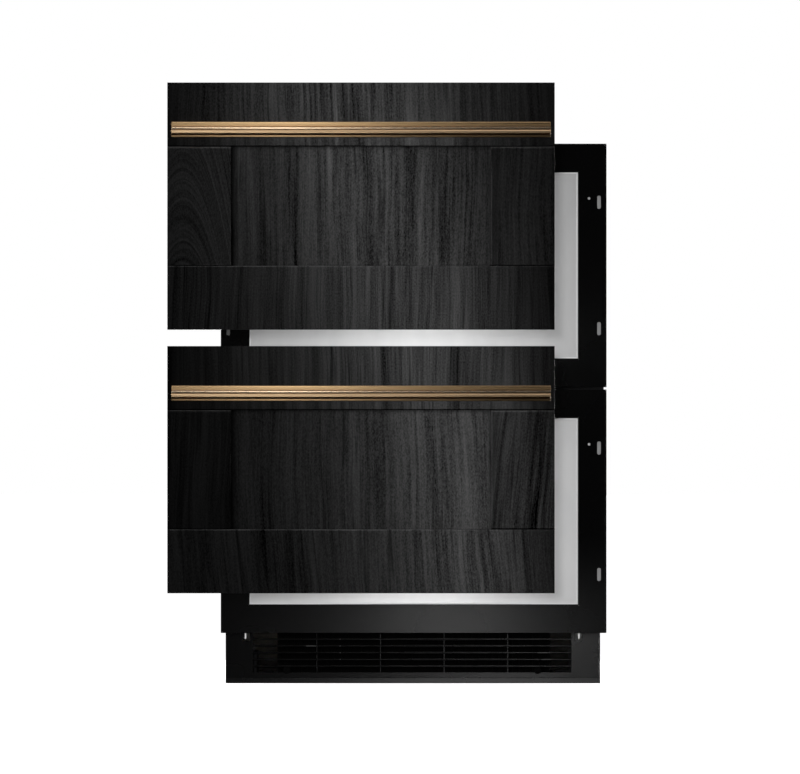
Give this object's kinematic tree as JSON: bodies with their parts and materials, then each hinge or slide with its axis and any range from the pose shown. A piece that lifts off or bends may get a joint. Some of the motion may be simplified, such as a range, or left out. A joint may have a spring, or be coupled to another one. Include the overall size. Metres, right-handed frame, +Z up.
{
  "type": "under counter drawer refrigerator",
  "caption": "Panel-ready undercounter refrigerator with drawers, shown with its black shaker drawer panels and brass bar handles standing loose in front.",
  "frame": {"origin": "middle of the base pan's underside, on the floor", "axes": "+Z up, -Y out of the drawer fronts, +X to the right for someone facing them"},
  "size_m": [0.686, 1.0754, 0.9392],
  "materials": {
    "black_steel": "satin black powder coat",
    "grey_steel": "matt light grey coating",
    "white_plastic": "smooth white",
    "black_plastic": "matt black",
    "front_core": "foamed core with a matt light grey skin",
    "foam": "rigid foam, matt",
    "seal_rubber": "matt dark grey",
    "aluminium": "mill finish",
    "brass": "brushed, satin lacquered",
    "black_wood": "black stain with open grain, satin",
    "zinc": "zinc plated"
  },
  "bodies": {
    "cabinet": {"back_panel": "grey_steel", "base_pan": "black_steel", "cabinet_shell": "black_steel", "compressor": "black_steel", "condenser": "black_steel", "condenser_fan_frame": "black_plastic", "control_panel": "black_plastic", "cord_inlet": "black_plastic", "drain_pan": "black_plastic", "evaporator": "aluminium", "evaporator_cover": "white_plastic", "insulation": "foam", "kick_plate": "black_steel", "kick_screw_left": "black_plastic", "kick_screw_right": "black_plastic", "lower_liner": "white_plastic", "lower_runner_fixed_left": "zinc", "lower_runner_fixed_right": "zinc", "mullion": "black_steel", "upper_liner": "white_plastic", "upper_runner_fixed_left": "zinc", "upper_runner_fixed_right": "zinc"},
    "upper_drawer": {"upper_front_frame": "black_steel", "upper_front_core": "front_core", "upper_front_liner": "white_plastic", "upper_gasket": "seal_rubber", "upper_bin": "white_plastic", "upper_runner_drawer_left": "zinc", "upper_runner_drawer_right": "zinc"},
    "lower_drawer": {"lower_front_frame": "black_steel", "lower_front_core": "front_core", "lower_front_liner": "white_plastic", "lower_gasket": "seal_rubber", "lower_bin": "white_plastic", "lower_runner_drawer_left": "zinc", "lower_runner_drawer_right": "zinc"},
    "upper_runner_middle": {"upper_runner_middle_left": "zinc", "upper_runner_middle_right": "zinc"},
    "lower_runner_middle": {"lower_runner_middle_left": "zinc", "lower_runner_middle_right": "zinc"},
    "upper_panel": {"upper_panel_bottom_rail": "black_wood", "upper_panel_field": "black_wood", "upper_panel_left_stile": "black_wood", "upper_panel_right_stile": "black_wood", "upper_panel_top_rail": "black_wood", "upper_handle": "brass"},
    "lower_panel": {"lower_panel_bottom_rail": "black_wood", "lower_panel_field": "black_wood", "lower_panel_left_stile": "black_wood", "lower_panel_right_stile": "black_wood", "lower_panel_top_rail": "black_wood", "lower_handle": "brass"},
    "condenser_fan_rotor": {"condenser_fan": "black_plastic"},
    "evaporator_fan_rotor": {"evaporator_fan": "white_plastic"},
    "cooler_button": {"button_cooler": "black_plastic"},
    "warmer_button": {"button_warmer": "black_plastic"},
    "foot_front_left": {"foot_front_left": "black_plastic"},
    "foot_front_right": {"foot_front_right": "black_plastic"},
    "foot_back_left": {"foot_back_left": "black_plastic"},
    "foot_back_right": {"foot_back_right": "black_plastic"}
  },
  "joints": [
    {"name": "upper_drawer_slide", "type": "slide", "parent": "cabinet", "child": "upper_drawer", "axis": [0, -1, 0], "range_m": [0, 0.38]},
    {"name": "upper_runner_slide", "type": "slide", "parent": "cabinet", "child": "upper_runner_middle", "axis": [0, -1, 0], "range_m": [0, 0.19]},
    {"name": "upper_panel_seat", "type": "slide", "parent": "upper_drawer", "child": "upper_panel", "axis": [0.1917, 0.9585, -0.2109], "range_m": [0, 0.42774]},
    {"name": "lower_drawer_slide", "type": "slide", "parent": "cabinet", "child": "lower_drawer", "axis": [0, -1, 0], "range_m": [0, 0.38]},
    {"name": "lower_runner_slide", "type": "slide", "parent": "cabinet", "child": "lower_runner_middle", "axis": [0, -1, 0], "range_m": [0, 0.19]},
    {"name": "lower_panel_seat", "type": "slide", "parent": "lower_drawer", "child": "lower_panel", "axis": [0.1937, 0.9683, -0.1575], "range_m": [0, 0.42341]},
    {"name": "condenser_fan_spin", "type": "hinge", "parent": "cabinet", "child": "condenser_fan_rotor", "pos_m": [0.024, 0.155, 0.086], "axis": [1, 0, 0], "continuous": true},
    {"name": "evaporator_fan_spin", "type": "hinge", "parent": "cabinet", "child": "evaporator_fan_rotor", "pos_m": [0, 0.16, 0.735], "axis": [0, 1, 0], "continuous": true},
    {"name": "cooler_button_press", "type": "slide", "parent": "cabinet", "child": "cooler_button", "axis": [0, 1, 0], "range_m": [0, 0.001], "stiffness_N_per_m": 500, "springref_m": -0.001},
    {"name": "warmer_button_press", "type": "slide", "parent": "cabinet", "child": "warmer_button", "axis": [0, 1, 0], "range_m": [0, 0.001], "stiffness_N_per_m": 500, "springref_m": -0.001},
    {"name": "foot_front_left_height", "type": "slide", "parent": "cabinet", "child": "foot_front_left", "axis": [0, 0, -1], "range_m": [0, 0.025]},
    {"name": "foot_front_right_height", "type": "slide", "parent": "cabinet", "child": "foot_front_right", "axis": [0, 0, -1], "range_m": [0, 0.025]},
    {"name": "foot_back_left_height", "type": "slide", "parent": "cabinet", "child": "foot_back_left", "axis": [0, 0, -1], "range_m": [0, 0.025]},
    {"name": "foot_back_right_height", "type": "slide", "parent": "cabinet", "child": "foot_back_right", "axis": [0, 0, -1], "range_m": [0, 0.025]}
  ],
  "couplings": [
    {"joint": "upper_runner_slide", "follows": "upper_drawer_slide", "ratio": 0.5},
    {"joint": "lower_runner_slide", "follows": "lower_drawer_slide", "ratio": 0.5}
  ]
}
